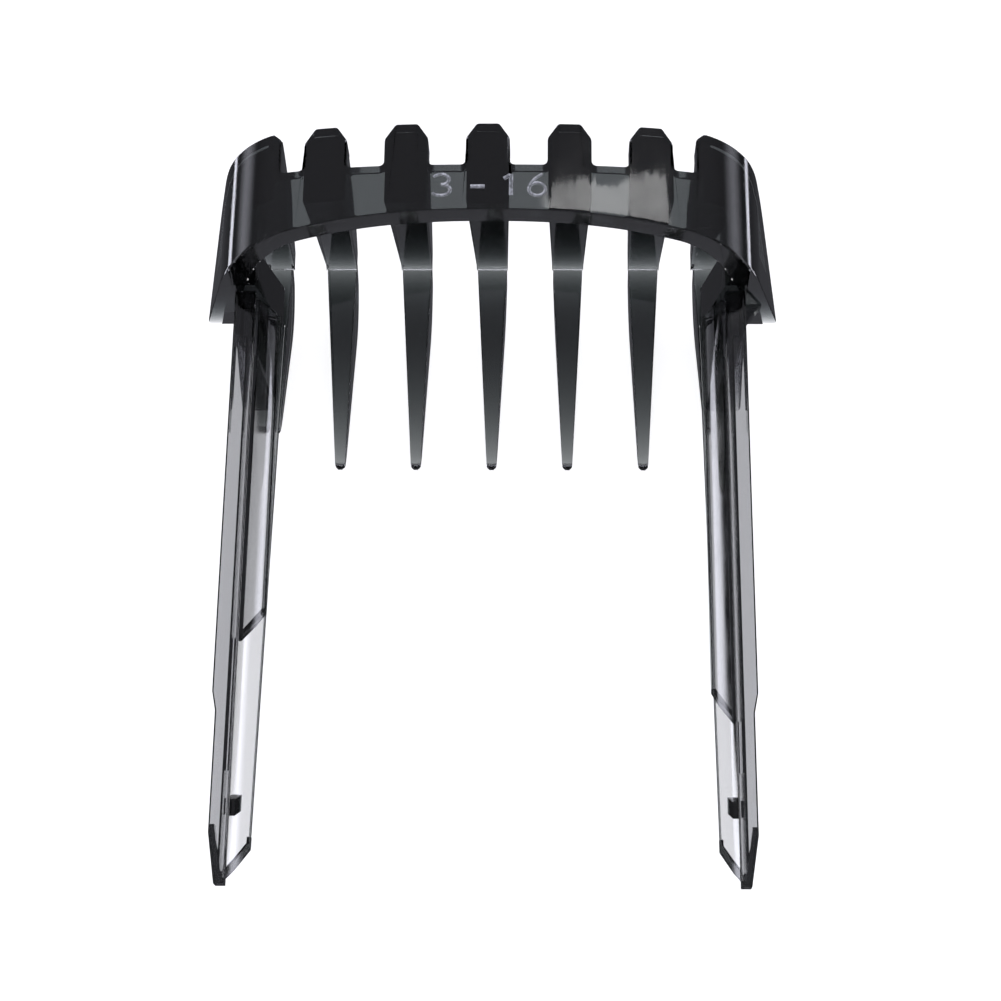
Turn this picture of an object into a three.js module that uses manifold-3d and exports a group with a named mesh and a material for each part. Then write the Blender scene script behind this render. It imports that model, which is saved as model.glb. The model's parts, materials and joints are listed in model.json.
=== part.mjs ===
// Comb attachment for a hair clipper: a moulded crown with seven teeth and two long springy arms.
// Millimetres. X runs across the teeth, Y points from the arm tips to the tooth tops, and Z points
// up from the tooth backs, which lie on the ground, to the front of the crown.
//
// Shapes are drawn as [down, depth] or [across, down] or [across, depth]:
//   down   is measured from the tooth tops towards the arm tips,
//   depth  is measured from the crown's front towards the tooth backs,
//   across is measured from the middle, outwards.

import * as THREE from "three";
import { mergeVertices } from "three/addons/utils/BufferGeometryUtils.js";
import Module from "manifold-3d";

const wasm = await Module();
wasm.setup();

// ---------------------------------------------------------------- driving sizes

const LENGTH = 69.0; // tooth tops to arm tips
const DEPTH = 25.5; // crown front to tooth backs
const WALL = 2.7; // crown wall
const PITCH = 7.6; // tooth to tooth
const SEAM = 0.1; // gap between two features of the same rigid body
const FLEX_GAP = 0.3; // gap where an arm bends against the crown
const FAR = 60; // longer than any cut needs

// ---------------------------------------------------------------- crown sizes

// Plan of the outer face, as [across, depth]: a nearly flat front, a round corner, a flared side.
const FRONT_CURVE = [[0, 0], [6.2, 0], [12.4, 0.17], [18.5, 1.45]];
const CORNER_CURVE = [[18.5, 1.45], [22.0, 2.2], [25.0, 5.9], [26.1, 10.7]];
const SIDE_RUN_ON = [30.2, 25.6]; // the side's line, carried on past its end
const CHEEK_BACK_TOP = 10.7; // how far back the cheeks reach at the top,
const CHEEK_BACK_LOW = 19.2; // and at their lower corners
const CHEEK_FACE = 19.45; // middle to the flank of a cheek
const CHEEK_TOP_ROUND = 3.5; // length of the rounding at a cheek's upper back corner
const TAB_WIDTH = 4.1;
const TAB_CHAMFER_WIDTH = 1.0;
const TAB_CHAMFER_HEIGHT = 1.5;
const CHEEK_CHAMFER = 0.8;
const SLOT_DEPTH = 4.3;
const SLOT_FILLET = 0.5;
const LIP_DOWN = 8.96; // the lip's distance down at the middle
const LIP_DROP = 2.84; // how much further down it is at the cheeks
const LIP_REACH = 24.7; // distance across where the lip's arch becomes straight
const LIP_POWER = 2.25; // shape of the arch

// ---------------------------------------------------------------- tooth sizes

const INNER_TEETH = 5;
const FIN_FRONT_DOWN = 7.6; // the middle fin's lower edge where it meets the crown
const FIN_FRONT_RISE = 0.14; // the edge is higher by this times the square of the fin's place
const SHOULDER_DOWN = 5.7; // where the fin's lower edge turns into the prong
const SHOULDER_DEPTH = 19.2;
const SHOULDER_STEP = 0.1; // the fin is this much wider than the prong, on each side
const PRONG_TOP_WIDTH = 2.93;
const PRONG_TIP_WIDTH = 1.0;
const PRONG_TIP_DOWN = 25.3;
const PRONG_TIP_FRONT = 24.2;
const PRONG_TIP_ROUND = 1.9; // length of the rounded back of the tip
const PRONG_TIP_FLAT = 0.5; // the tip's flat end, in depth,
const PRONG_TIP_LEAN = 0.3; // and how far it leans
const BACK_CURVE_END = 11.5; // where the tooth's curved back becomes straight
const OUTER_TIP_DOWN = 21.5; // the two outer teeth are shorter
const OUTER_FACE_FRONT = 19.45; // the outer teeth's inner flank at the front,
const OUTER_FACE_SHOULDER = 19.95; // at the shoulder,
const OUTER_FACE_TIP = 21.4; // and at the tip

// ---------------------------------------------------------------- arm sizes

const ARM_TOP = LIP_DOWN + LIP_DROP + FLEX_GAP;
const RAIL_INNER = 22.6;
const RAIL_OUTER = 24.2;
const RAIL_FRONT = 11.3;
const RAIL_BACK = 12.7;
const RIB_PROUD = 0.35;
const RIB_END = 51.7; // the guide rib ends here
const RIB_RUNOUT = 1.8; // and runs out over this length
const TIP_FACET_DOWN = 64.5;
const TIP_FACET_WIDTH = 0.7;
const PLATE_FRONT_OUTER = 23.4;
const PLATE_BACK_OUTER = 21.1;
const PLATE_BACK_DEPTH = 19.7;
const PLATE_TIP_DEPTH = 17.8; // the plate is narrower at its tip
const PLATE_THICKNESS = 0.45;
const PLATE_END_DOWN = 64.9; // where the plate's back edge is cut off on the slant
const PAD_PROUD = 0.6;
const PAD_FRONT_MARGIN = 0.5;
const PAD_BACK_MARGIN = 2.4;
const PAD_END = { left: 46.5, right: 54.1 };
const PAD_SLANT = 3.9; // how much shorter the pad is at its back edge
const RIDGE_WIDTH = 0.5;
const RIDGE_PROUD = 0.35;
const RIDGE_END = 58.8;
const CATCH_TOP = 60.6;
const CATCH_LENGTH = 2.2;
const CATCH_PROUD = 0.8;
const CATCH_WIDTH = 1.2;
const WEB_FRONT_END = 16.2; // the web behind the rail stiffens the arm down to here in front,
const WEB_BACK_END = 22.5; // and to here at the plate's back edge
const WEB_BACK_MARGIN = 1;
const ROOT_TOP = 7.9; // just under the outer tooth's fin
const ROOT_INNER = 20.9;
const GUSSET_WIDTH = 1.6;
const GUSSET_HEIGHT = 2;
const GUSSET_FRONT = 14.5;
const GUSSET_THICKNESS = 1.2;

// ---------------------------------------------------------------- solids

// Turns a closed three.js geometry into a manifold-3d solid.
function solidOf(geometry) {
  geometry.deleteAttribute("normal");
  geometry.deleteAttribute("uv");
  const merged = mergeVertices(geometry, 1e-5);
  const mesh = new wasm.Mesh({
    numProp: 3,
    vertProperties: new Float32Array(merged.attributes.position.array),
    triVerts: new Uint32Array(merged.index.array),
  });
  return new wasm.Manifold(mesh);
}

// Turns a solid back into a three.js geometry.
function geometryOf(solid) {
  const mesh = solid.getMesh();
  const geometry = new THREE.BufferGeometry();
  geometry.setAttribute("position", new THREE.BufferAttribute(mesh.vertProperties, 3));
  geometry.setIndex(new THREE.BufferAttribute(mesh.triVerts, 1));
  geometry.computeVertexNormals();
  return geometry;
}

// A prism: the outline is drawn on the first two axes given and runs along the third.
function prism(outline, from, to, axes) {
  const shape = new THREE.Shape(outline.map(([a, b]) => new THREE.Vector2(a, b)));
  const geometry = new THREE.ExtrudeGeometry(shape, { depth: to - from, bevelEnabled: false });
  geometry.translate(0, 0, from);
  geometry.applyMatrix4(new THREE.Matrix4().makeBasis(...axes));
  return solidOf(geometry);
}

const X = new THREE.Vector3(1, 0, 0);
const Y = new THREE.Vector3(0, 1, 0);
const Z = new THREE.Vector3(0, 0, 1);

// Outline of [down, depth] points, running across from one x to another.
function prismAcross(outline, x0, x1) {
  const points = outline.map(([down, depth]) => [-down, -depth]);
  return prism(points, Math.min(x0, x1), Math.max(x0, x1), [Y, Z, X]);
}

// Outline of [x, depth] points, running down.
function prismDown(outline, top, bottom) {
  const points = outline.map(([x, depth]) => [-depth, x]);
  return prism(points, -bottom, -top, [Z, X, Y]);
}

// Outline of [x, down] points, running back from one depth to another.
function prismBack(outline, front, back) {
  const points = outline.map(([x, down]) => [x, -down]);
  return prism(points, -back, -front, [X, Y, Z]);
}

// Points on a quarter of an ellipse, from angle `from` to angle `to`, in quarter turns.
function arcPoints(centre, radii, from, to, steps) {
  const points = [];
  for (let i = 0; i <= steps; i++) {
    const angle = (Math.PI / 2) * (from + ((to - from) * i) / steps);
    points.push([centre[0] + radii[0] * Math.cos(angle), centre[1] + radii[1] * Math.sin(angle)]);
  }
  return points;
}

const mirrored = (points, side) => points.map(([x, other]) => [side * x, other]);

// ---------------------------------------------------------------- materials

// Thick places of the smoky plastic look nearly black, and thin plates look light grey.
const COLOURS = { thick: 0x1c1e22, medium: 0x3a4042, thin: 0xa2a2a8 };

function smokyPlastic(tone) {
  return new THREE.MeshStandardMaterial({ color: COLOURS[tone], roughness: 0.08, metalness: 0 });
}

function part(name, solid, tone) {
  const mesh = new THREE.Mesh(geometryOf(solid), smokyPlastic(tone));
  mesh.name = name;
  return mesh;
}

// ---------------------------------------------------------------- crown

// Half of the crown's outer plan curve, from the middle outwards.
function outerPlan() {
  const path = new THREE.Path();
  path.moveTo(...FRONT_CURVE[0]);
  path.bezierCurveTo(...FRONT_CURVE.slice(1).flat());
  path.bezierCurveTo(...CORNER_CURVE.slice(1).flat());
  path.lineTo(...SIDE_RUN_ON);
  return path.getPoints(9);
}

// The same curve moved inwards along its own normal, as [x, depth] points.
function planCurve(inset) {
  const outer = outerPlan();
  return outer.map((point, i) => {
    const before = outer[Math.max(i - 1, 0)];
    const after = outer[Math.min(i + 1, outer.length - 1)];
    const along = after.clone().sub(before).normalize();
    const inwards = i === 0 ? new THREE.Vector2(0, 1) : new THREE.Vector2(-along.y, along.x);
    return point.clone().addScaledVector(inwards, inset).toArray();
  });
}

function wholeCurve(inset) {
  const half = planCurve(inset);
  const left = mirrored(half, -1).reverse();
  return [...left, ...half.slice(1)];
}

// Everything behind the crown's inner wall, less a seam.
function spaceInsideCrown() {
  const curve = wholeCurve(WALL + SEAM);
  const side = SIDE_RUN_ON[0] - WALL - SEAM;
  return prismDown([...curve, [side, FAR], [-side, FAR]], -FAR, FAR);
}

// How far down the crown's lower edge is: an arch in front, straight under the cheeks.
function lipDown(x) {
  return LIP_DOWN + LIP_DROP * Math.pow(Math.min(Math.abs(x) / LIP_REACH, 1), LIP_POWER);
}

function spaceAboveLip() {
  const steps = 24;
  const arch = [];
  for (let i = -steps; i <= steps; i++) {
    const x = (LIP_REACH * i) / steps;
    arch.push([x, lipDown(x)]);
  }
  const low = lipDown(LIP_REACH);
  return prismBack([[-FAR, -FAR], [-FAR, low], ...arch, [FAR, low], [FAR, -FAR]], -FAR, FAR);
}

// The crown's side view: flat top, and cheeks that reach further back lower down.
function crownSide() {
  const top = CHEEK_BACK_TOP;
  const bottom = CHEEK_BACK_LOW;
  const low = lipDown(LIP_REACH);
  const slant = (bottom - top) / low;
  const rounding = new THREE.QuadraticBezierCurve(
    new THREE.Vector2(0, top - CHEEK_TOP_ROUND),
    new THREE.Vector2(0, top),
    new THREE.Vector2(CHEEK_TOP_ROUND, top + slant * CHEEK_TOP_ROUND),
  );
  const corner = rounding.getPoints(6).map((point) => point.toArray());
  return prismAcross([[0, -1], ...corner, [low, bottom], [FAR, bottom], [FAR, -1]], -FAR, FAR);
}

// The slot between two neighbouring tabs, with rounded bottom corners.
function slotOutline(left, right) {
  const r = SLOT_FILLET;
  const low = SLOT_DEPTH - r;
  return [
    [left, -1],
    ...arcPoints([left + r, low], [-r, r], 0, 1, 4),
    ...arcPoints([right - r, low], [r, r], 1, 0, 4),
    [right, -1],
  ];
}

// The slanted corner cut off a tab's or a cheek's top. direction is +1 for a right-hand corner.
function cornerCut(x, direction, width, height) {
  return [[x + direction, -1], [x + direction, height + 1e-3], [x, height], [x - direction * width, 0],
    [x - direction * width, -1]];
}

// The two corners cut off the top of a tab, and of the fin behind it.
function tabCorners(middle) {
  return [-1, 1].map((side) => {
    const edge = middle + (side * TAB_WIDTH) / 2;
    return prismBack(cornerCut(edge, side, TAB_CHAMFER_WIDTH, TAB_CHAMFER_HEIGHT), -1, FAR);
  });
}

function crownShell() {
  const outer = wholeCurve(0);
  const inner = wholeCurve(WALL).reverse();
  const wall = prismDown([...outer, ...inner], -1, FAR);
  let shell = wall.intersect(crownSide()).intersect(spaceAboveLip());
  const last = (INNER_TEETH - 1) / 2;
  const halfTab = TAB_WIDTH / 2;
  for (let i = -last - 1; i <= last; i++) {
    const left = i < -last ? -CHEEK_FACE : i * PITCH + halfTab;
    const right = i === last ? CHEEK_FACE : (i + 1) * PITCH - halfTab;
    shell = shell.subtract(prismBack(slotOutline(left, right), -1, FAR));
  }
  for (let i = -last; i <= last; i++) {
    for (const corner of tabCorners(i * PITCH)) {
      shell = shell.subtract(corner);
    }
  }
  for (const side of [-1, 1]) {
    const corner = cornerCut(side * CHEEK_FACE, -side, CHEEK_CHAMFER, CHEEK_CHAMFER);
    shell = shell.subtract(prismBack(corner, -1, FAR));
  }
  return shell;
}

// The crown is one wall. It is split into the band in front and a cheek at each side.
function crownParts() {
  const shell = crownShell();
  const split = CHEEK_FACE - SEAM;
  const slab = (x0, x1) => prismBack([[x0, -FAR], [x1, -FAR], [x1, FAR], [x0, FAR]], -FAR, FAR);
  return [
    part("crown_band", shell.intersect(slab(-split, split)), "thick"),
    part("left_cheek", shell.intersect(slab(-FAR, -CHEEK_FACE)), "thick"),
    part("right_cheek", shell.intersect(slab(CHEEK_FACE, FAR)), "thick"),
  ];
}

// ---------------------------------------------------------------- teeth

// Side view of a whole tooth: curved back, rounded tip, straight lower edges.
function toothSide(tipDown, place) {
  const finFront = FIN_FRONT_DOWN - FIN_FRONT_RISE * place * place;
  const back = arcPoints([BACK_CURVE_END, 0], [BACK_CURVE_END, DEPTH], 2, 1, 14);
  const tipCentre = [tipDown - PRONG_TIP_ROUND, PRONG_TIP_FRONT + PRONG_TIP_FLAT];
  const tip = arcPoints(tipCentre, [PRONG_TIP_ROUND, DEPTH - tipCentre[1]], 1, 0, 5);
  return [
    ...back,
    ...tip,
    [tipDown - PRONG_TIP_LEAN, PRONG_TIP_FRONT],
    [SHOULDER_DOWN, SHOULDER_DEPTH],
    [finFront, WALL],
    [finFront, 0],
  ];
}

// Cuts a tooth into its fin, in front of the shoulder, and its prong, behind it.
function inFront(solid) {
  const back = SHOULDER_DEPTH - SEAM / 2;
  const box = [[-FAR, -FAR], [FAR, -FAR], [FAR, back], [-FAR, back]];
  return solid.intersect(prismAcross(box, -FAR, FAR));
}

function behind(solid) {
  const front = SHOULDER_DEPTH + SEAM / 2;
  const box = [[-FAR, front], [FAR, front], [FAR, FAR], [-FAR, FAR]];
  return solid.intersect(prismAcross(box, -FAR, FAR));
}

// An inner tooth, made around x = 0: its fin narrows backwards and its prong narrows downwards.
function innerTooth(place) {
  const side = prismAcross(toothSide(PRONG_TIP_DOWN, place), -PITCH, PITCH);
  const half = PRONG_TOP_WIDTH / 2;
  const halfFin = half + SHOULDER_STEP;
  const halfTab = TAB_WIDTH / 2;
  const plan = [[-halfTab, 0], [halfTab, 0], [halfFin, SHOULDER_DEPTH], [-halfFin, SHOULDER_DEPTH]];
  const tip = PRONG_TIP_WIDTH / 2;
  const round = arcPoints([0, PRONG_TIP_DOWN - tip], [-tip, tip], 0, 2, 8);
  const front = [[-half, -1], [-half, SHOULDER_DOWN], ...round, [half, SHOULDER_DOWN], [half, -1]];
  let fin = side.intersect(prismDown(plan, -1, FAR));
  for (const corner of tabCorners(0)) {
    fin = fin.subtract(corner);
  }
  return {
    fin: inFront(fin),
    prong: behind(side.intersect(prismBack(front, 0, FAR))),
  };
}

// An outer tooth is shorter, and its inner flank carries on the cheek's flank.
function outerTooth(side) {
  const profile = prismAcross(toothSide(OUTER_TIP_DOWN, (INNER_TEETH + 1) / 2), -FAR, FAR);
  const inside = OUTER_FACE_SHOULDER;
  const outside = inside + PRONG_TOP_WIDTH;
  const plan = [[OUTER_FACE_FRONT, 0], [outside, 0], [outside, SHOULDER_DEPTH], [inside, SHOULDER_DEPTH]];
  const tip = PRONG_TIP_WIDTH / 2;
  const round = arcPoints([OUTER_FACE_TIP + tip, OUTER_TIP_DOWN - tip], [-tip, tip], 0, 2, 8);
  const front = [[inside, -1], [inside, SHOULDER_DOWN], ...round, [outside, SHOULDER_DOWN], [outside, -1]];
  return {
    fin: inFront(profile.intersect(prismDown(mirrored(plan, side), -1, FAR))),
    prong: behind(profile.intersect(prismBack(mirrored(front, side), 0, FAR))),
  };
}

function teeth() {
  const inside = spaceInsideCrown();
  const meshes = [];
  const last = (INNER_TEETH + 1) / 2;
  for (let i = -last; i <= last; i++) {
    const number = i + last + 1;
    const outer = Math.abs(i) === last;
    const tooth = outer ? outerTooth(Math.sign(i)) : innerTooth(i);
    const x = outer ? 0 : i * PITCH;
    const fin = tooth.fin.intersect(inside.translate([-x, 0, 0]));
    meshes.push(part(`tooth_fin_${number}`, fin, "thick"));
    meshes.push(part(`tooth_prong_${number}`, tooth.prong, "medium"));
    for (const mesh of meshes.slice(-2)) {
      mesh.position.x = x;
    }
  }
  return meshes;
}

// ---------------------------------------------------------------- arms

// Everything an arm may fill: the slanted end cuts off the plate, and a facet narrows the rail's tip.
function armSpace(side) {
  const end = [
    [ARM_TOP, 0],
    [LENGTH, 0],
    [LENGTH, RAIL_BACK],
    [PLATE_END_DOWN, PLATE_TIP_DEPTH],
    [ARM_TOP, PLATE_BACK_DEPTH],
  ];
  const facet = [
    [0, 0],
    [RAIL_OUTER + RIB_PROUD, 0],
    [RAIL_OUTER + RIB_PROUD, RIB_END],
    [RAIL_OUTER, RIB_END + RIB_RUNOUT],
    [RAIL_OUTER, TIP_FACET_DOWN],
    [RAIL_OUTER - TIP_FACET_WIDTH, LENGTH],
    [0, LENGTH],
  ];
  return prismAcross(end, -FAR, FAR).intersect(prismBack(mirrored(facet, side), -FAR, FAR));
}

// Plan outline of a strip that lies along the slanted side plate, between two depths.
function alongPlate(front, back, from, to) {
  const slope = (PLATE_BACK_OUTER - PLATE_FRONT_OUTER) / (PLATE_BACK_DEPTH - RAIL_BACK);
  const x = (depth) => PLATE_FRONT_OUTER + slope * (depth - RAIL_BACK);
  return [[x(front) - from, front], [x(back) - from, back], [x(back) - to, back], [x(front) - to, front]];
}

function armParts(sideName, side) {
  const space = armSpace(side);
  const run = (plan, top, bottom) => prismDown(mirrored(plan, side), top, bottom).intersect(space);
  const strip = (x0, x1) => [[x0, RAIL_FRONT], [x1, RAIL_FRONT], [x1, RAIL_BACK], [x0, RAIL_BACK]];
  const rail = strip(RAIL_INNER, RAIL_OUTER);
  const rib = strip(RAIL_OUTER + SEAM, RAIL_OUTER + RIB_PROUD);
  const plate = alongPlate(RAIL_BACK + SEAM, PLATE_BACK_DEPTH, 0, PLATE_THICKNESS);
  const faceIn = PLATE_THICKNESS + SEAM;
  const padFront = RAIL_BACK + PAD_FRONT_MARGIN;
  const padBack = PLATE_BACK_DEPTH - PAD_BACK_MARGIN;
  const pad = alongPlate(padFront, padBack, faceIn, PLATE_THICKNESS + PAD_PROUD);
  const padEnd = PAD_END[sideName];
  const slant = [[padEnd, padFront], [padEnd - PAD_SLANT, padBack]];
  const padSpace = prismAcross([[-FAR, -FAR], [padEnd, -FAR], ...slant, [-FAR, padBack]], -FAR, FAR);
  const edge = RAIL_BACK + SEAM;
  const ridge = alongPlate(edge, edge + RIDGE_WIDTH, faceIn, PLATE_THICKNESS + RIDGE_PROUD);
  const catchPlan = alongPlate(edge, edge + CATCH_WIDTH, faceIn, PLATE_THICKNESS + CATCH_PROUD);
  const webFront = RAIL_BACK + SEAM;
  const webBack = PLATE_BACK_DEPTH - WEB_BACK_MARGIN;
  const webInner = alongPlate(webFront, webBack, -SEAM, -SEAM).slice(0, 2);
  const web = [...webInner, [RAIL_OUTER - SEAM, webBack], [RAIL_OUTER - SEAM, webFront]];
  const webEnd = [[WEB_FRONT_END, 0], [WEB_FRONT_END, RAIL_BACK], [WEB_BACK_END, PLATE_BACK_DEPTH]];
  const webSpace = prismAcross([[0, 0], ...webEnd, [0, PLATE_BACK_DEPTH]], -FAR, FAR);
  const arm = new THREE.Group();
  arm.add(part(`${sideName}_rail`, run(rail, 0, FAR + LENGTH), "thin"));
  arm.add(part(`${sideName}_guide_rib`, run(rib, 0, RIB_END + RIB_RUNOUT * 0.7), "thin"));
  arm.add(part(`${sideName}_side_plate`, run(plate, 0, FAR + LENGTH), "thin"));
  arm.add(part(`${sideName}_code_pad`, run(pad, 0, FAR).intersect(padSpace), "thin"));
  arm.add(part(`${sideName}_ridge`, run(ridge, padEnd + FLEX_GAP, RIDGE_END), "thin"));
  arm.add(part(`${sideName}_root_web`, run(web, 0, FAR).intersect(webSpace), "medium"));
  arm.add(part(`${sideName}_catch`, run(catchPlan, CATCH_TOP, CATCH_TOP + CATCH_LENGTH), "thick"));
  return arm;
}

// The thick place inside a cheek that the arm grows out of, below the outer tooth's fin.
function armRoot(sideName, side) {
  const front = RAIL_FRONT - 1;
  const back = SHOULDER_DEPTH - SEAM;
  const plan = [[RAIL_INNER, front], [FAR, front], [FAR, back], [ROOT_INNER, back]];
  const solid = prismDown(mirrored(plan, side), ROOT_TOP, ARM_TOP - FLEX_GAP).intersect(spaceInsideCrown());
  return part(`${sideName}_arm_root`, solid, "thick");
}

// A small triangular web under the right cheek, outside the arm.
function rightGusset() {
  const inner = RAIL_OUTER + RIB_PROUD + FLEX_GAP;
  const lip = lipDown(LIP_REACH) + SEAM;
  const outline = [[inner, lip], [inner + GUSSET_WIDTH, lip], [inner, lip + GUSSET_HEIGHT]];
  return part("right_gusset", prismBack(outline, GUSSET_FRONT, GUSSET_FRONT + GUSSET_THICKNESS), "medium");
}

// ---------------------------------------------------------------- assembly

const group = new THREE.Group();
group.position.set(0, LENGTH / 2, DEPTH);
for (const mesh of [...crownParts(), ...teeth()]) {
  group.add(mesh);
}
for (const [sideName, side] of [["left", -1], ["right", 1]]) {
  group.add(armRoot(sideName, side));
  group.add(armParts(sideName, side));
}
group.add(rightGusset());

export default group;
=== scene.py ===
# Comb attachment for a hair clipper, in smoky see-through plastic, on a pale floor.
# The crown is one mesh. Each arm is one mesh, with a second one for its catch and its dark edge lines, in
# near-black plastic that paints in the shade seen along them.
# The shapes are worked out in millimetres in the same frame as the CAD, and scaled at the end.
#
# Shapes are drawn as [down, depth], [across, down] or [across, depth]:
#   down   is measured from the tooth tops towards the arm tips,
#   depth  is measured from the crown's front towards the tooth backs,
#   across is measured from the middle, outwards.

import itertools
import json
import math

import bmesh
import bpy
from mathutils import Matrix, Vector

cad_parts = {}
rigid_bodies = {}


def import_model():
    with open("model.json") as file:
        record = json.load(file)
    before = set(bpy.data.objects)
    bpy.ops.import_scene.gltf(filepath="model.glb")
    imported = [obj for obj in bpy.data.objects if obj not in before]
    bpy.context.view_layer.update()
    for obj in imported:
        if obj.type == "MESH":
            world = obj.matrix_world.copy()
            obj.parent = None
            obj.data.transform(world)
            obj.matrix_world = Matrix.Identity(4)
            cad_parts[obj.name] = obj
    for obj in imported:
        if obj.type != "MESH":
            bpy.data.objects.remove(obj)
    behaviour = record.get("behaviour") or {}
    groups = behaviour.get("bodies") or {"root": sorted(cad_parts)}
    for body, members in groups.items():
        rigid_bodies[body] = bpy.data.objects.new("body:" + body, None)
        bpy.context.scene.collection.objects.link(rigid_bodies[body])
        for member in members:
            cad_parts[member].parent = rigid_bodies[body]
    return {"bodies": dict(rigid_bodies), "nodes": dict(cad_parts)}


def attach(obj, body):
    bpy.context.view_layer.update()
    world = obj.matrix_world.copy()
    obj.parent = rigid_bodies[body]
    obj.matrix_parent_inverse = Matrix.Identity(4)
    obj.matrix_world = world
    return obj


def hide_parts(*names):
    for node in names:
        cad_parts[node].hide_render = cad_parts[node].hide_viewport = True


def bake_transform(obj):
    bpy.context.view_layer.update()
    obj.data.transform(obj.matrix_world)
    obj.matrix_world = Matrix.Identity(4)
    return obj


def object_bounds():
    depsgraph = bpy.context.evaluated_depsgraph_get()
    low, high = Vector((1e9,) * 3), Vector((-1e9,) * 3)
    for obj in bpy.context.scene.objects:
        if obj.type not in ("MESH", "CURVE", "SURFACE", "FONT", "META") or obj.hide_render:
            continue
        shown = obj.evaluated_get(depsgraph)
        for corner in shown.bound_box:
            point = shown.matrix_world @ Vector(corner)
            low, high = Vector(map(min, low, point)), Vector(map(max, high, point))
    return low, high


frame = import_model()
CAD_LOW, CAD_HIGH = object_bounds()
MM = 0.001


# ---------------------------------------------------------------- sizes, in millimetres

TOP = CAD_HIGH.y / MM
FRONT = CAD_HIGH.z / MM
LENGTH = (CAD_HIGH.y - CAD_LOW.y) / MM
DEPTH = (CAD_HIGH.z - CAD_LOW.z) / MM
FAR = 60

WALL = 2.7
FRONT_CURVE = [(0, 0), (6.2, 0), (12.4, 0.17), (18.5, 1.45)]
CORNER_CURVE = [(18.5, 1.45), (22.0, 2.2), (25.0, 5.9), (26.1, 10.7)]
SIDE_RUN_ON = (30.2, 25.6)
CURVE_STEPS = 28
CHEEK_BACK_TOP = 10.7
CHEEK_BACK_LOW = 19.2
CHEEK_FACE = 19.45
CHEEK_TOP_ROUND = 3.5
TAB_WIDTH = 4.1
TAB_CHAMFER_WIDTH = 1.0
TAB_CHAMFER_HEIGHT = 1.5
CHEEK_CHAMFER = 0.8
SLOT_DEPTH = 4.3
SLOT_FILLET = 0.5
LIP_DOWN = 8.96
LIP_DROP = 2.84
LIP_REACH = 24.7
LIP_POWER = 2.25

INNER_TEETH = 5
PITCH = 7.6
FIN_FRONT_DOWN = 7.6
FIN_FRONT_RISE = 0.14
SHOULDER_DOWN = 5.7
SHOULDER_DEPTH = 19.2
SHOULDER_STEP = 0.1
PRONG_TOP_WIDTH = 2.93
PRONG_TIP_WIDTH = 1.0
PRONG_TIP_DOWN = 25.3
PRONG_TIP_FRONT = 24.2
PRONG_TIP_ROUND = 1.9
PRONG_TIP_FLAT = 0.5
PRONG_TIP_LEAN = 0.3
PRONG_STRAIGHT = 0.4
PRONG_OVERLAP = 0.8
BACK_CURVE_END = 11.5
OUTER_TIP_DOWN = 21.5
OUTER_FACE_FRONT = 19.45
OUTER_FACE_SHOULDER = 19.95
OUTER_FACE_TIP = 21.4
OUTER_PRONG_STEP = 0.35
BEAD = 0.22

ARM_OVERLAP = 0.02
RAIL_INNER = 22.6
RAIL_OUTER = 24.2
RAIL_FRONT = 11.3
RAIL_BACK = 12.7
RIB_PROUD = 0.35
RIB_END = 51.7
RIB_RUNOUT = 1.8
TIP_FACET_DOWN = 64.5
TIP_FACET_WIDTH = 0.7
PLATE_FRONT_OUTER = 23.4
PLATE_BACK_OUTER = 21.1
PLATE_BACK_DEPTH = 19.7
PLATE_TIP_DEPTH = 17.8
PLATE_THICKNESS = 0.45
PLATE_FRONT_THICKNESS = 0.14
PLATE_TAPER = 2.4
PLATE_SLOPE = (PLATE_BACK_OUTER - PLATE_FRONT_OUTER) / (PLATE_BACK_DEPTH - RAIL_BACK)
PLATE_END_DOWN = 64.9
PAD_PROUD = 0.6
PAD_FRONT_DROP = 0.3
PAD_EDGE_ROUND = 0.25
PAD_FRONT_MARGIN = 0.5
PAD_BACK_MARGIN = 2.4
PAD_END = {"left": 46.5, "right": 54.1}
PAD_SLANT = 3.9
# PAD_END_WIDTH, OUTLINE and TIP_RIM are widths of the near-black skins that paint in shade along the arms'
# edges.
PAD_END_WIDTH = 0.55
OUTLINE = 0.14
SKIN_NUDGE = 0.02
LIFT = 0.025
FRONT_LIFT = 0.02
PAD_END_LIFT = 0.02
INSIDE = 0.1
TIP_RIM = 0.55
TIP_RIM_TOP = 63.8
RIDGE_WIDTH = 0.5
RIDGE_PROUD = 0.18
RIDGE_END = 58.8
CATCH_TOP = 60.6
CATCH_LENGTH = 2.2
CATCH_PROUD = 0.8
CATCH_WIDTH = 1.2
CATCH_SLANT = 0.7
WEB_FRONT_END = 16.2
WEB_BACK_END = 22.5
WEB_BACK_MARGIN = 1
ROOT_TOP = 7.9
ROOT_INNER = 20.9
GUSSET_WIDTH = 1.6
GUSSET_HEIGHT = 2
GUSSET_FRONT = 14.5
GUSSET_THICKNESS = 1.2
GUSSET_GAP = 0.3
GUSSET_OVERLAP = 0.5

NUMBER_TOP = 5.4
NUMBER_HEIGHT = 2.2
NUMBER_WIDTH = 1.9
STROKE = 0.76
ENGRAVED = 0.17
NUMBERS_REACH = 6

EDGE_ROUND = 0.22
FINE_EDGE_ROUND = 0.14
RAIL_EDGE_ROUND = 0.28


# ---------------------------------------------------------------- solids

def new_object(name, mesh):
    made = bpy.data.objects.new(name, mesh)
    bpy.context.scene.collection.objects.link(made)
    return made


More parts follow.
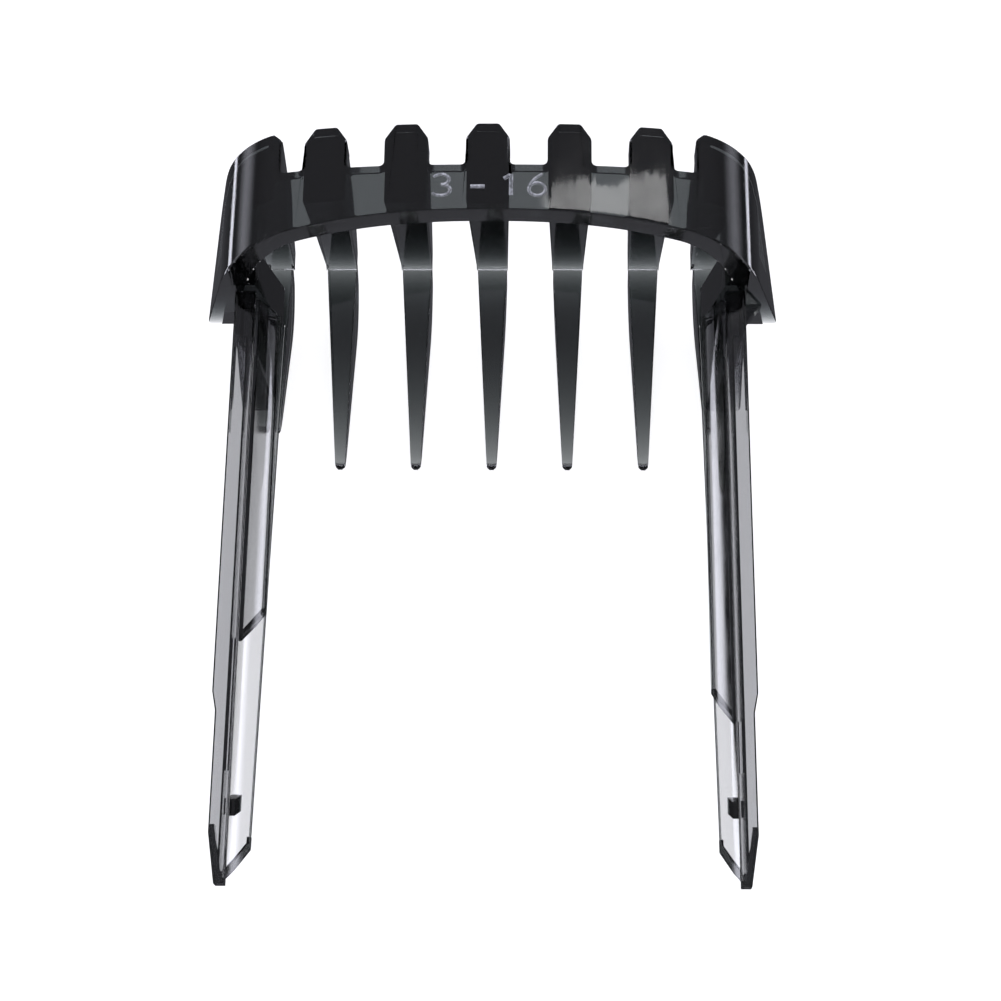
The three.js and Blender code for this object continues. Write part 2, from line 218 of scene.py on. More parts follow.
def prism(outline, start, end, place, end_outline=None):
    """A closed prism, tapered if it has another outline at its end.

    place() turns a point of the outline and the place along the prism into x, y, z.
    """
    mesh = bpy.data.meshes.new("prism")
    bm = bmesh.new()
    low = [bm.verts.new(place(a, b, start)) for a, b in outline]
    high = [bm.verts.new(place(a, b, end)) for a, b in end_outline or outline]
    bm.faces.new(low)
    bm.faces.new(high)
    for i in range(len(outline)):
        j = (i + 1) % len(outline)
        bm.faces.new((low[i], low[j], high[j], high[i]))
    bmesh.ops.recalc_face_normals(bm, faces=bm.faces)
    bm.to_mesh(mesh)
    bm.free()
    return new_object("prism", mesh)


def prism_across(outline, x0, x1):
    return prism(outline, x0, x1, lambda down, depth, x: (x, TOP - down, FRONT - depth))


def prism_down(outline, top, bottom):
    return prism(outline, top, bottom, lambda x, depth, down: (x, TOP - down, FRONT - depth))


def prism_back(outline, front, back, back_outline=None):
    return prism(outline, front, back, lambda x, down, depth: (x, TOP - down, FRONT - depth), back_outline)


def bake(obj):
    """Applies the object's modifiers."""
    bpy.context.view_layer.update()
    graph = bpy.context.evaluated_depsgraph_get()
    mesh = bpy.data.meshes.new_from_object(obj.evaluated_get(graph))
    obj.modifiers.clear()
    old = obj.data
    obj.data = mesh
    bpy.data.meshes.remove(old)
    return obj


def combine(base, other, operation):
    """Joins, cuts or intersects base with other, and deletes other."""
    tool = base.modifiers.new("combine", "BOOLEAN")
    tool.operation = operation
    tool.solver = "MANIFOLD"
    tool.object = other
    bake(base)
    bpy.data.objects.remove(other)
    return base


def joined(base, *others):
    for other in others:
        combine(base, other, "UNION")
    return base


def cut(base, *others):
    for other in others:
        combine(base, other, "DIFFERENCE")
    return base


def common(base, *others):
    for other in others:
        combine(base, other, "INTERSECT")
    return base


def round_edges(obj, width, segments=2, angle=32):
    """Merges flat neighbours, then rounds every edge sharper than angle."""
    bm = bmesh.new()
    bm.from_mesh(obj.data)
    bmesh.ops.remove_doubles(bm, verts=bm.verts, dist=0.004)
    bmesh.ops.dissolve_limit(bm, angle_limit=math.radians(0.05), verts=bm.verts, edges=bm.edges)
    bm.to_mesh(obj.data)
    bm.free()
    bevel = obj.modifiers.new("round", "BEVEL")
    bevel.width = width
    bevel.segments = segments
    bevel.limit_method = "ANGLE"
    bevel.angle_limit = math.radians(angle)
    bevel.use_clamp_overlap = False
    bevel.miter_outer = "MITER_ARC"
    return bake(obj)


def arc_points(centre, radii, start, end, steps):
    """Points on part of an ellipse. The angles are in quarter turns."""
    points = []
    for i in range(steps + 1):
        angle = math.pi / 2 * (start + (end - start) * i / steps)
        points.append((centre[0] + radii[0] * math.cos(angle), centre[1] + radii[1] * math.sin(angle)))
    return points


def bezier(controls, steps):
    """Points on a quadratic or cubic curve, its start left out."""
    degree = len(controls) - 1
    points = []
    for i in range(1, steps + 1):
        t = i / steps
        weights = [math.comb(degree, k) * t ** k * (1 - t) ** (degree - k) for k in range(degree + 1)]
        x = sum(w * c[0] for w, c in zip(weights, controls))
        y = sum(w * c[1] for w, c in zip(weights, controls))
        points.append((x, y))
    return points


def mirrored(points, side):
    return [(side * x, other) for x, other in points]


# ---------------------------------------------------------------- crown

def outer_plan():
    """Half of the crown's outer plan curve, from the middle outwards."""
    front = bezier(FRONT_CURVE, CURVE_STEPS)
    corner = bezier(CORNER_CURVE, CURVE_STEPS)
    return [FRONT_CURVE[0], *front, *corner, SIDE_RUN_ON]


def plan_curve(inset):
    """The outer plan curve moved inwards along its own normal."""
    outer = [Vector(p) for p in outer_plan()]
    moved = []
    for i, point in enumerate(outer):
        along = outer[min(i + 1, len(outer) - 1)] - outer[max(i - 1, 0)]
        inwards = Vector((-along.y, along.x)).normalized() if i else Vector((0, 1))
        moved.append(tuple(point + inwards * inset))
    return moved


def whole_curve(inset):
    half = plan_curve(inset)
    return mirrored(half, -1)[::-1] + half[1:]


def lip_down(x):
    """How far down the crown's arched lower edge is at x."""
    return LIP_DOWN + LIP_DROP * min(abs(x) / LIP_REACH, 1) ** LIP_POWER


def space_above_lip():
    low = lip_down(LIP_REACH)
    steps = 32
    arch = [(LIP_REACH * i / steps, lip_down(LIP_REACH * i / steps)) for i in range(-steps, steps + 1)]
    return prism_back([(-FAR, -FAR), (-FAR, low), *arch, (FAR, low), (FAR, -FAR)], -FAR, FAR)


def crown_side():
    top, bottom = CHEEK_BACK_TOP, CHEEK_BACK_LOW
    low = lip_down(LIP_REACH)
    slant = (bottom - top) / low
    controls = [(0, top - CHEEK_TOP_ROUND), (0, top), (CHEEK_TOP_ROUND, top + slant * CHEEK_TOP_ROUND)]
    outline = [(0, -1), controls[0], *bezier(controls, 10), (low, bottom), (FAR, bottom), (FAR, -1)]
    return prism_across(outline, -FAR, FAR)


def slot_outline(left, right):
    r = SLOT_FILLET
    low = SLOT_DEPTH - r
    left_corner = arc_points((left + r, low), (-r, r), 0, 1, 5)
    right_corner = arc_points((right - r, low), (r, r), 1, 0, 5)
    return [(left, -1), *left_corner, *right_corner, (right, -1)]


def corner_cut(x, direction, width, height):
    return [(x + direction, -1), (x + direction, height), (x, height), (x - direction * width, 0),
            (x - direction * width, -1)]


def cut_tab_corners(solid, middle):
    for side in (-1, 1):
        edge = middle + side * TAB_WIDTH / 2
        cut(solid, prism_back(corner_cut(edge, side, TAB_CHAMFER_WIDTH, TAB_CHAMFER_HEIGHT), -1, FAR))


def crown_shell():
    outer = whole_curve(0)
    inner = whole_curve(WALL)[::-1]
    shell = common(prism_down(outer + inner, -1, FAR), crown_side(), space_above_lip())
    last = (INNER_TEETH - 1) // 2
    half = TAB_WIDTH / 2
    for i in range(-last - 1, last + 1):
        left = -CHEEK_FACE if i < -last else i * PITCH + half
        right = CHEEK_FACE if i == last else (i + 1) * PITCH - half
        cut(shell, prism_back(slot_outline(left, right), -1, FAR))
    for i in range(-last, last + 1):
        cut_tab_corners(shell, i * PITCH)
    for side in (-1, 1):
        corner = corner_cut(side * CHEEK_FACE, -side, CHEEK_CHAMFER, CHEEK_CHAMFER)
        cut(shell, prism_back(corner, -1, FAR))
    return round_edges(shell, EDGE_ROUND)


# ---------------------------------------------------------------- teeth

def tooth_side(tip_down, place):
    fin_front = FIN_FRONT_DOWN - FIN_FRONT_RISE * place * place
    back = arc_points((BACK_CURVE_END, 0), (BACK_CURVE_END, DEPTH), 2, 1, 20)
    centre = (tip_down - PRONG_TIP_ROUND, PRONG_TIP_FRONT + PRONG_TIP_FLAT)
    tip = arc_points(centre, (PRONG_TIP_ROUND, DEPTH - centre[1]), 1, 0, 7)
    return [*back, *tip, (tip_down - PRONG_TIP_LEAN, PRONG_TIP_FRONT), (SHOULDER_DOWN, SHOULDER_DEPTH),
            (fin_front, WALL), (fin_front, 0)]


def tooth(centre, half_front, half_fin, half_prong, tip_centre, tip_down, place):
    """A fin that narrows backwards, and behind it a prong that narrows downwards."""
    fin = prism_across(tooth_side(tip_down, place), -FAR, FAR)
    prong = prism_across(tooth_side(tip_down, place), -FAR, FAR)
    c0, c1 = centre
    plan = [(c0 - half_front, 0), (c0 + half_front, 0), (c1 + half_fin, SHOULDER_DEPTH),
            (c1 - half_fin, SHOULDER_DEPTH)]
    tip = PRONG_TIP_WIDTH / 2
    rounded = arc_points((tip_centre, tip_down - tip), (-tip, tip), 0, 2, 8)
    straight_end = SHOULDER_DOWN + PRONG_STRAIGHT
    outline = [(c1 - half_prong, -1), (c1 - half_prong, straight_end), *rounded,
               (c1 + half_prong, straight_end), (c1 + half_prong, -1)]
    bead = arc_points((SHOULDER_DOWN, SHOULDER_DEPTH), (BEAD, BEAD), 0, 4, 12)[1:]
    joined(fin, prism_across(bead, -FAR, FAR))
    common(fin, prism_down(plan, -1, FAR))
    common(prong, prism_back(outline, SHOULDER_DEPTH - PRONG_OVERLAP, FAR))
    if c0 == c1:
        cut_tab_corners(fin, c0)
    round_edges(fin, EDGE_ROUND)
    round_edges(prong, EDGE_ROUND, 3)
    return joined(fin, prong)


def all_teeth():
    last = (INNER_TEETH + 1) // 2
    half = PRONG_TOP_WIDTH / 2
    teeth = []
    for i in range(-last, last + 1):
        if abs(i) < last:
            x = i * PITCH
            made = tooth((x, x), TAB_WIDTH / 2, half + SHOULDER_STEP, half, x, PRONG_TIP_DOWN, i)
        else:
            side = 1 if i > 0 else -1
            shoulder = side * (OUTER_FACE_SHOULDER + half)
            front = side * (OUTER_FACE_FRONT + TAB_WIDTH / 2)
            tip = side * (OUTER_FACE_TIP + PRONG_TIP_WIDTH / 2)
            narrow = half - OUTER_PRONG_STEP
            made = tooth((front, shoulder), TAB_WIDTH / 2, half, narrow, tip, OUTER_TIP_DOWN, i)
        teeth.append(made)
    return teeth


def space_inside_crown():
    """Everything behind the middle of the crown's wall, so that what is cut to it ends inside the wall."""
    curve = whole_curve(WALL / 2)
    side = SIDE_RUN_ON[0] - WALL / 2
    return prism_down([*curve, (side, FAR), (-side, FAR)], -FAR, FAR)


# ---------------------------------------------------------------- arms

def arm_space(side, top):
    """The space that an arm's rail and plate fill, seen from the side and from the front."""
    end = [(top, 0), (LENGTH, 0), (LENGTH, RAIL_BACK), (PLATE_END_DOWN, PLATE_TIP_DEPTH),
           (top, PLATE_BACK_DEPTH)]
    rib = RAIL_OUTER + RIB_PROUD
    facet = [(0, 0), (rib, 0), (rib, RIB_END), (RAIL_OUTER, RIB_END + RIB_RUNOUT),
             (RAIL_OUTER, TIP_FACET_DOWN), (RAIL_OUTER - TIP_FACET_WIDTH, LENGTH), (0, LENGTH)]
    return common(prism_across(end, -FAR, FAR), prism_back(mirrored(facet, side), -FAR, FAR))


def plate_x(depth):
    """How far out the plate's outer face is. The plate leans inwards as it goes back."""
    return PLATE_FRONT_OUTER + PLATE_SLOPE * (depth - RAIL_BACK)


def along_plate(front, back, start, end, front_end=None, taper=1):
    """A plan between two distances inwards from the plate's outer face.

    With front_end, the inner distance starts as front_end and reaches end over the taper.
    """
    corners = [(plate_x(front) - start, front), (plate_x(back) - start, back), (plate_x(back) - end, back)]
    if front_end is None:
        return [*corners, (plate_x(front) - end, front)]
    return [*corners, (plate_x(front + taper) - end, front + taper), (plate_x(front) - front_end, front)]


def thin_skin(solid, inward, outward):
    """What is left of a solid when copies of itself, moved by inward, are cut away.

    The copies are nudged each way, so that no film is left where their faces lie on each other. The skin
    is then moved by outward, which lifts it just clear of the solid's own faces.
    """
    outer = new_object("skin", solid.data.copy())
    for nudge in itertools.product((-SKIN_NUDGE, SKIN_NUDGE), repeat=3):
        inner = new_object("core", solid.data.copy())
        inner.data.transform(Matrix.Translation(Vector(inward) + Vector(nudge)))
        cut(outer, inner)
    outer.data.transform(Matrix.Translation(Vector(outward)))
    return outer


def below(down):
    """Everything lower than a height, towards the arm tips."""
    return prism_across([(down, -FAR), (FAR * 2, -FAR), (FAR * 2, FAR), (down, FAR)], -FAR, FAR)


def arm(side_name, side):
    """An arm in two solids: the clear moulding, and its catch with the dark edge lines, near-black plastic
    that paints in the shade along them.
    """
    top = LIP_DOWN + LIP_DROP - ARM_OVERLAP

    def run(plan, start, end):
        return prism_down(mirrored(plan, side), start, end)

    pad_front = RAIL_BACK + PAD_FRONT_MARGIN
    pad_back = PLATE_BACK_DEPTH - PAD_BACK_MARGIN
    pad_end = PAD_END[side_name]
    rib_face = RAIL_OUTER + RIB_PROUD
    rail = [(RAIL_INNER, RAIL_FRONT), (rib_face, RAIL_FRONT), (rib_face, RAIL_BACK),
            (RAIL_INNER, RAIL_BACK)]
    plate_front = RAIL_BACK - 2 * FINE_EDGE_ROUND
    plate = along_plate(plate_front, PLATE_BACK_DEPTH, 0, PLATE_THICKNESS,
                        PLATE_FRONT_THICKNESS, PLATE_TAPER)
    pad_face = PLATE_THICKNESS + PAD_PROUD
    pad = along_plate(pad_front, pad_back, INSIDE, pad_face, pad_face - PAD_FRONT_DROP, PLATE_TAPER)
    ridge_face = PLATE_FRONT_THICKNESS + RIDGE_PROUD
    ridge = along_plate(RAIL_BACK - INSIDE, RAIL_BACK + RIDGE_WIDTH, INSIDE, ridge_face)
    ridges = run(ridge, pad_end, RIDGE_END)
    # The catch's shape is real; its near-black plastic paints in the shade it shows.
    catch_face = PLATE_THICKNESS + CATCH_PROUD
    catch = along_plate(RAIL_BACK - INSIDE, FAR, PLATE_THICKNESS - INSIDE, catch_face)
    catch_back = RAIL_BACK + CATCH_WIDTH
    catch_low = CATCH_TOP + CATCH_LENGTH
    catch_side = [(CATCH_TOP + CATCH_SLANT, RAIL_FRONT), (CATCH_TOP + CATCH_SLANT, RAIL_BACK),
                  (CATCH_TOP, catch_back), (catch_low - CATCH_SLANT, catch_back), (catch_low, RAIL_BACK),
                  (catch_low, RAIL_FRONT)]
    catches = common(run(catch, CATCH_TOP, catch_low), prism_across(catch_side, -FAR, FAR))
    # The pad ends are painted shade: a thin slab of near-black plastic across the end of each pad.
    slant = [(pad_end - PAD_END_WIDTH, pad_front), (pad_end, pad_front), (pad_end - PAD_SLANT, pad_back),
             (pad_end - PAD_SLANT - PAD_END_WIDTH, pad_back)]
    pad_ends = common(run(pad, top, FAR), prism_across(slant, -FAR, FAR))
    pad_ends.data.transform(Matrix.Translation((-side * PAD_END_LIFT, -PAD_END_LIFT, 0)))
    pad_side = [(-FAR, -FAR), (pad_end, -FAR), (pad_end, pad_front), (pad_end - PAD_SLANT, pad_back),
                (-FAR, pad_back)]

    rails = common(run(rail, top, FAR + LENGTH), arm_space(side, top))
    # These thin skins are painted shade: near-black plastic laid along the arm's edges.
    outer_line = thin_skin(rails, (-side * OUTLINE, 0, 0), (side * LIFT, 0, FRONT_LIFT))
    tip_rim = thin_skin(rails, (-side * TIP_RIM, TIP_RIM, 0), (side * LIFT, -LIFT, FRONT_LIFT))
    tip_rim = common(tip_rim, below(TIP_RIM_TOP))
    round_edges(rails, RAIL_EDGE_ROUND, 3)
    plates = common(run(plate, top, FAR + LENGTH), arm_space(side, top))
    back_line = thin_skin(plates, (-side * PLATE_SLOPE * OUTLINE, 0, OUTLINE), (0, 0, -LIFT))
    slant_rim = thin_skin(plates, (-side * PLATE_SLOPE * TIP_RIM, TIP_RIM, TIP_RIM), (-side * LIFT, 0, 0))
    slant_rim = common(slant_rim, below(TIP_RIM_TOP))
    round_edges(plates, FINE_EDGE_ROUND)
    body = joined(rails, plates)
    pads = common(run(pad, top, FAR), prism_across(pad_side, -FAR, FAR))
    pad_line = thin_skin(pads, (-side * PLATE_SLOPE * OUTLINE, 0, OUTLINE), (-side * LIFT, 0, -LIFT))
    round_edges(pads, PAD_EDGE_ROUND, 3)
    web_back = PLATE_BACK_DEPTH - WEB_BACK_MARGIN
    web_inner = along_plate(RAIL_BACK - INSIDE, web_back, INSIDE, INSIDE)[:2]
    web_outer = rib_face - FINE_EDGE_ROUND
    web = [*web_inner, (web_outer, web_back), (web_outer, RAIL_BACK - 2 * FINE_EDGE_ROUND)]
    web_end = [(WEB_FRONT_END, 0), (WEB_FRONT_END, RAIL_BACK), (WEB_BACK_END, PLATE_BACK_DEPTH)]
    web_side = [(0, 0), *web_end, (0, PLATE_BACK_DEPTH)]
    webs = common(run(web, top, FAR), prism_across(web_side, -FAR, FAR))
    round_edges(webs, EDGE_ROUND, 3)
    painted_shade_lines = joined(catches, pad_ends, outer_line, tip_rim, back_line, slant_rim, pad_line)
    painted_shade_lines = common(painted_shade_lines, below(top + OUTLINE))
    return joined(body, pads, webs, ridges), painted_shade_lines


# ---------------------------------------------------------------- small crown features

def ribbon(points, width):
    """The outline of a stroke of the given width along the points."""
    path = [Vector(p) for p in points]
    left, right = [], []
    for i, point in enumerate(path):
        along = (path[min(i + 1, len(path) - 1)] - path[max(i - 1, 0)]).normalized()
        across = Vector((-along.y, along.x)) * width / 2
        left.append(tuple(point + across))
        right.append(tuple(point - across))
    return left + right[::-1]


def number_strokes():
    """Each sign of the length range as strokes in a box one unit wide and high, and the box's middle."""
    three = [arc_points((0.45, 0.25), (0.4, 0.25), -1.7, 1, 12),
             arc_points((0.45, 0.74), (0.46, 0.26), -1, 1.7, 12)]
    dash = [[(0.15, 0.58), (0.85, 0.58)]]
    one = [[(0.2, 0.22), (0.55, 0.02)], [(0.55, 0), (0.55, 1)]]
    ring = [arc_points((0.5, 0.7), (0.4, 0.3), turn, turn + 2.02, 12) for turn in (0, 2)]
    six = [*ring, bezier([(0.8, -0.02), (0.75, 0), (0.18, 0.22), (0.1, 0.7)], 9)]
    return [(three, -4.2), (dash, -0.9), (one, 2.1), (six, 4.6)]


def engrave_numbers(crown):
    for strokes, middle in number_strokes():
        for stroke in strokes:
            points = [(middle + (x - 0.5) * NUMBER_WIDTH, NUMBER_TOP + y * NUMBER_HEIGHT)
                      for x, y in stroke]
            groove = prism_back(ribbon(points, STROKE), -ENGRAVED, ENGRAVED, ribbon(points, STROKE / 20))
            cut(crown, groove)
    return crown


def frost_and_highlight_numbers(crown):
    """Gives the slanted walls of the engraved strokes a rougher surface, and a paler colour that paints in
    the highlights they catch.
    """
    crown.data.materials.append(frosted_highlight_plastic())
    low, high = (TOP - NUMBER_TOP - NUMBER_HEIGHT - STROKE) * MM, (TOP - NUMBER_TOP + STROKE) * MM
    for polygon in crown.data.polygons:
        middle = polygon.center
        among_numbers = abs(middle.x) < NUMBERS_REACH * MM and low < middle.y < high
        on_front = middle.z > (FRONT - 2 * ENGRAVED) * MM
        if among_numbers and on_front and polygon.normal.z < 0.9:
            polygon.material_index = 1


def arm_root(side):
    """The thick place inside a cheek that the arm grows out of."""
    front = RAIL_FRONT - 1
    plan = [(RAIL_INNER, front), (FAR, front), (FAR, SHOULDER_DEPTH), (ROOT_INNER, SHOULDER_DEPTH)]
    block = prism_down(mirrored(plan, side), ROOT_TOP, LIP_DOWN + LIP_DROP)
    return common(block, space_inside_crown())


def right_gusset():
    inner = RAIL_OUTER + RIB_PROUD + GUSSET_GAP
    lip = LIP_DOWN + LIP_DROP
    top = lip - GUSSET_OVERLAP
    outline = [(inner, top), (inner + GUSSET_WIDTH, top), (inner + GUSSET_WIDTH, lip),
               (inner, lip + GUSSET_HEIGHT)]
    return prism_back(outline, GUSSET_FRONT, GUSSET_FRONT + GUSSET_THICKNESS)


# ---------------------------------------------------------------- materials

def smoky_plastic(name, density, tint):
    """Clear plastic with a smoky dye: thick places look nearly black and thin places light grey."""
    material = bpy.data.materials.new(name)
    material.use_nodes = True
    nodes, links = material.node_tree.nodes, material.node_tree.links
    shader = nodes["Principled BSDF"]
    shader.inputs["Base Color"].default_value = (1, 1, 1, 1)
    shader.inputs["Transmission Weight"].default_value = 1
    shader.inputs["IOR"].default_value = 1.55
    place = nodes.new("ShaderNodeTexCoord")
    haze = nodes.new("ShaderNodeTexNoise")
    haze.inputs["Scale"].default_value = 260
    haze.inputs["Detail"].default_value = 4
    links.new(place.outputs["Object"], haze.inputs["Vector"])
    rough = nodes.new("ShaderNodeMapRange")
    rough.inputs["From Min"].default_value = 0.35
    rough.inputs["From Max"].default_value = 0.75
    rough.inputs["To Min"].default_value = 0.03
    rough.inputs["To Max"].default_value = 0.1
    links.new(haze.outputs["Fac"], rough.inputs["Value"])
    links.new(rough.outputs["Result"], shader.inputs["Roughness"])
    volume = nodes.new("ShaderNodeVolumeAbsorption")
    volume.inputs["Color"].default_value = (*tint, 1)
    volume.inputs["Density"].default_value = density
    links.new(volume.outputs["Volume"], nodes["Material Output"].inputs["Volume"])
    return material


def frosted_highlight_plastic():
    """The rough, grainy surface of the engraved strokes, painted pale as a highlight. It is opaque."""
    material = bpy.data.materials.new("frosted_strokes_painted_highlight")
    material.use_nodes = True
    nodes, links = material.node_tree.nodes, material.node_tree.links
    shader = nodes["Principled BSDF"]
    shader.inputs["Roughness"].default_value = 0.45
    place = nodes.new("ShaderNodeTexCoord")
    grain = nodes.new("ShaderNodeTexNoise")
    grain.inputs["Scale"].default_value = 3000
    links.new(place.outputs["Object"], grain.inputs["Vector"])
    shade = nodes.new("ShaderNodeValToRGB")
    shade.color_ramp.elements[0].position = 0.35
    shade.color_ramp.elements[0].color = (0.3, 0.31, 0.33, 1)
    shade.color_ramp.elements[1].position = 0.65
    shade.color_ramp.elements[1].color = (0.75, 0.76, 0.8, 1)
    links.new(grain.outputs["Fac"], shade.inputs["Fac"])
    links.new(shade.outputs["Color"], shader.inputs["Base Color"])
    return material


def floor_material():
    """Pale, and glowing with painted light like a light table, brightest under the object so that the
    object's shadow is washed out.
    """
    material = bpy.data.materials.new("pale_floor")
    material.use_nodes = True
    nodes, links = material.node_tree.nodes, material.node_tree.links
    shader = nodes["Principled BSDF"]
    shader.inputs["Roughness"].default_value = 0.8
    shader.inputs["Emission Color"].default_value = (1, 1, 1, 1)
    place = nodes.new("ShaderNodeTexCoord")
    reach = nodes.new("ShaderNodeVectorMath")
    reach.operation = "LENGTH"
    links.new(place.outputs["Object"], reach.inputs[0])
    painted_glow = nodes.new("ShaderNodeMapRange")
    painted_glow.interpolation_type = "SMOOTHSTEP"
    painted_glow.inputs["From Min"].default_value = 0.06
    painted_glow.inputs["From Max"].default_value = 0.22
    painted_glow.inputs["To Min"].default_value = 0.82
    painted_glow.inputs["To Max"].default_value = 0.3
    links.new(reach.outputs["Value"], painted_glow.inputs["Value"])
    links.new(painted_glow.outputs["Result"], shader.inputs["Emission Strength"])
    noise = nodes.new("ShaderNodeTexNoise")
    noise.inputs["Scale"].default_value = 8
    ramp = nodes.new("ShaderNodeMixRGB")
    ramp.inputs["Color1"].default_value = (0.8, 0.8, 0.8, 1)
    ramp.inputs["Color2"].default_value = (0.84, 0.84, 0.84, 1)
    links.new(noise.outputs["Fac"], ramp.inputs["Fac"])
    links.new(ramp.outputs["Color"], shader.inputs["Base Color"])
    return material


# ---------------------------------------------------------------- the moulding

def finish_piece(piece, name, material):
    """Scales a solid to metres, shades it smooth, and gives it its material."""
    piece.name = name
    piece.data.name = name
    piece.data.transform(Matrix.Scale(MM, 4))
    piece.data.materials.clear()
    piece.data.materials.append(material)
    for polygon in piece.data.polygons:
        polygon.use_smooth = True
    piece.data.set_sharp_from_angle(angle=math.radians(35))
    weighted = piece.modifiers.new("weighted", "WEIGHTED_NORMAL")
    weighted.keep_sharp = True
    return bake(piece)


def nodes_of(body):
    """The names of the CAD nodes that move with a body."""
    return [name for name, node in frame["nodes"].items() if node.parent == frame["bodies"][body]]


def build_crown():
    teeth = all_teeth()
    fins = joined(teeth[0], *teeth[1:], arm_root(-1), arm_root(1))
    common(fins, space_inside_crown())
    crown = engrave_numbers(joined(crown_shell(), fins, right_gusset()))
    finish_piece(crown, "crown_moulding", smoky_plastic("smoky_thick", 960, (0, 0.035, 0.045)))
    frost_and_highlight_numbers(crown)
    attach(crown, "crown")
    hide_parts(*nodes_of("crown"))


def build_arms():
    """The arms bend near the crown, and their dark edge lines are near-black plastic that paints in the
    shade along them.
    """
    thin = smoky_plastic("smoky_thin", 700, (0, 0.005, 0.035))
    # Near-black plastic for the painted shade along the arms' edges and on the catches.
    dark = smoky_plastic("painted_shade_black", 9000, (0, 0.03, 0.04))
    for side_name, side in (("left", -1), ("right", 1)):
        body = f"{side_name}_arm"
        long_piece, painted_shade_pieces = arm(side_name, side)
        piece = finish_piece(long_piece, f"{side_name}_arm_moulding", thin)
        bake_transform(piece)
        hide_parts(*[name for name in nodes_of(body) if not name.endswith("catch")])
        painted_shade_lines = finish_piece(painted_shade_pieces, f"{side_name}_painted_shade_lines", dark)
        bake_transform(painted_shade_lines)
        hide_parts(f"{side_name}_catch")


# ---------------------------------------------------------------- floor, lights, camera

def add_floor():
    """A round floor that curves up into a backdrop. Reflections show the studio instead of the floor."""
    rings = [(0.01, 0), (0.2, 0), (0.9, 0)]
    rings += [(0.9 + r, 0.4 + h) for r, h in arc_points((0, 0), (0.4, 0.4), -0.9, 0, 9)]
    rings += [(1.3, 0.6)]
    count = 48
    bm = bmesh.new()
    loops = []
    for radius, height in rings:
        angles = [2 * math.pi * i / count for i in range(count)]
        loops.append([bm.verts.new((radius * math.cos(a), radius * math.sin(a), height)) for a in angles])
    bm.faces.new(loops[0])
    for low, high in zip(loops, loops[1:]):
        for i in range(count):
            j = (i + 1) % count
            bm.faces.new((low[i], low[j], high[j], high[i]))
    mesh = bpy.data.meshes.new("floor")
    bm.to_mesh(mesh)
    bm.free()
    floor = new_object("floor", mesh)
    floor.location.z = CAD_LOW.z - 0.0001
    floor.visible_glossy = False
    mesh.materials.append(floor_material())


def add_softbox(name, centre, target, along, width, height, radiance):
    """An area light at centre that faces target, with its width along the third vector. Millimetres."""
    data = bpy.data.lights.new(name, "AREA")
    data.shape = "RECTANGLE"
    data.size = width * MM
    data.size_y = height * MM
    data.energy = radiance * math.pi * width * height * MM * MM
    light = bpy.data.objects.new(name, data)
    bpy.context.scene.collection.objects.link(light)
    back = (Vector(centre) - Vector(target)).normalized()
    upwards = back.cross(Vector(along)).normalized()
    turn = Matrix((upwards.cross(back), upwards, back)).transposed().to_4x4()
    light.matrix_world = Matrix.Translation(Vector(centre) * MM) @ turn


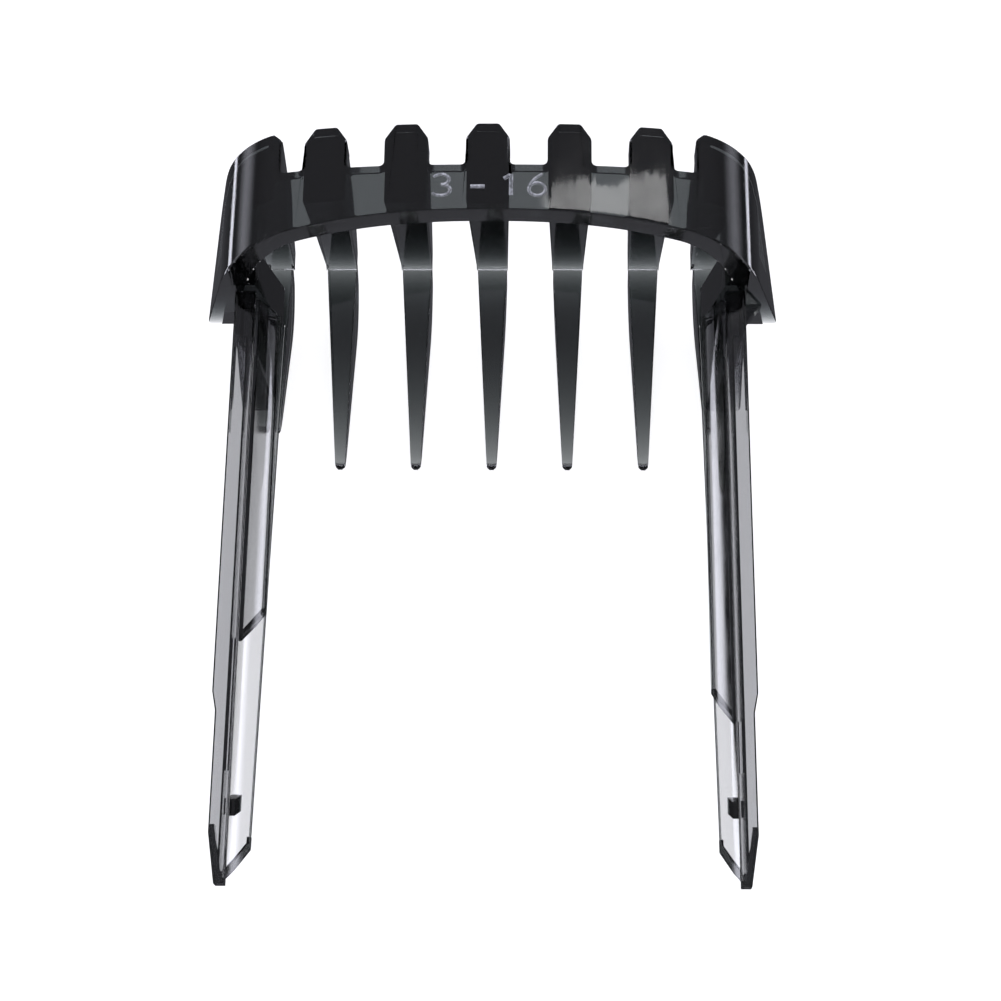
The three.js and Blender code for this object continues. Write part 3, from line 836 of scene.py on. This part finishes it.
def add_world():
    """A dim room with strip lights at the sides. The angle is measured from overhead to the sides."""
    world = bpy.data.worlds.new("studio")
    bpy.context.scene.world = world
    world.use_nodes = True
    nodes, links = world.node_tree.nodes, world.node_tree.links

    def math_node(operation, a, b=None):
        node = nodes.new("ShaderNodeMath")
        node.operation = operation
        for socket, value in zip(node.inputs, (a, b)):
            if isinstance(value, (int, float)):
                socket.default_value = value
            elif value is not None:
                links.new(value, socket)
        return node.outputs[0]

    def soft_step(value, start, end, low, high):
        node = nodes.new("ShaderNodeMapRange")
        node.interpolation_type = "SMOOTHSTEP"
        links.new(value, node.inputs["Value"])
        for name, number in (("From Min", start), ("From Max", end), ("To Min", low), ("To Max", high)):
            node.inputs[name].default_value = number
        return node.outputs["Result"]

    place = nodes.new("ShaderNodeTexCoord")
    split = nodes.new("ShaderNodeSeparateXYZ")
    links.new(place.outputs["Generated"], split.inputs["Vector"])
    x, y, z = split.outputs
    angle = math_node("DEGREES", math_node("ARCTAN2", x, z))

    def strip(middle, half_width, edge, radiance):
        off = math_node("ABSOLUTE", math_node("SUBTRACT", angle, middle))
        return soft_step(off, half_width - edge, half_width + edge, radiance, 0)

    light = soft_step(z, -0.4, 0.6, 0.08, 0.36)
    low_front = math_node("MULTIPLY", soft_step(z, -0.3, -0.6, 0, 0.25), soft_step(y, -0.15, -0.35, 0, 1))
    front_height = math_node("ABSOLUTE", math_node("SUBTRACT", z, 0.4))
    front_light = math_node("MULTIPLY", soft_step(front_height, 0.1, 0.3, 3, 0),
                            soft_step(y, -0.6, -0.8, 0, 1))
    side_light = math_node("ADD", strip(-106, 8, 8, 1.2), strip(104, 8, 8, 1.1))
    thin_strips = math_node("ADD", strip(-130, 2.5, 1.5, 3.5), strip(129, 2.5, 1.5, 3.5))
    for part in (low_front, front_light, side_light, thin_strips):
        light = math_node("ADD", light, part)
    nodes["Background"].inputs["Color"].default_value = (0.95, 0.96, 1.08, 1)
    links.new(light, nodes["Background"].inputs["Strength"])


def add_camera():
    """A long lens, looking down steeply from the arm-tip side."""
    aim = Vector((1.27, 1.0, 14.5)) * MM
    azimuth, elevation, distance, roll = 3.8, 70.15, 194.2 * MM, 0.61
    a, e = math.radians(azimuth), math.radians(elevation)
    away = Vector((math.sin(a) * math.cos(e), -math.cos(a) * math.cos(e), math.sin(e)))
    data = bpy.data.cameras.new("camera")
    data.lens = 75.3
    data.sensor_width = 36
    data.clip_start = 0.01
    camera = bpy.data.objects.new("camera", data)
    bpy.context.scene.collection.objects.link(camera)
    right = (-away).cross(Vector((0, 1, 0))).normalized()
    up = right.cross(-away)
    turn = Matrix((right, up, away)).transposed().to_4x4()
    lean = Matrix.Rotation(math.radians(roll), 4, "Z")
    camera.matrix_world = Matrix.Translation(aim + away * distance) @ turn @ lean
    bpy.context.scene.camera = camera


build_crown()
build_arms()
add_floor()
add_world()
add_softbox("right_softbox", (132, 301, 539), (11, 27, 25), (216, 11, -48), 200, 28, 4.2)
add_camera()

scene = bpy.context.scene
scene.view_settings.view_transform = "Standard"
scene.cycles.max_bounces = 24
scene.cycles.transmission_bounces = 20
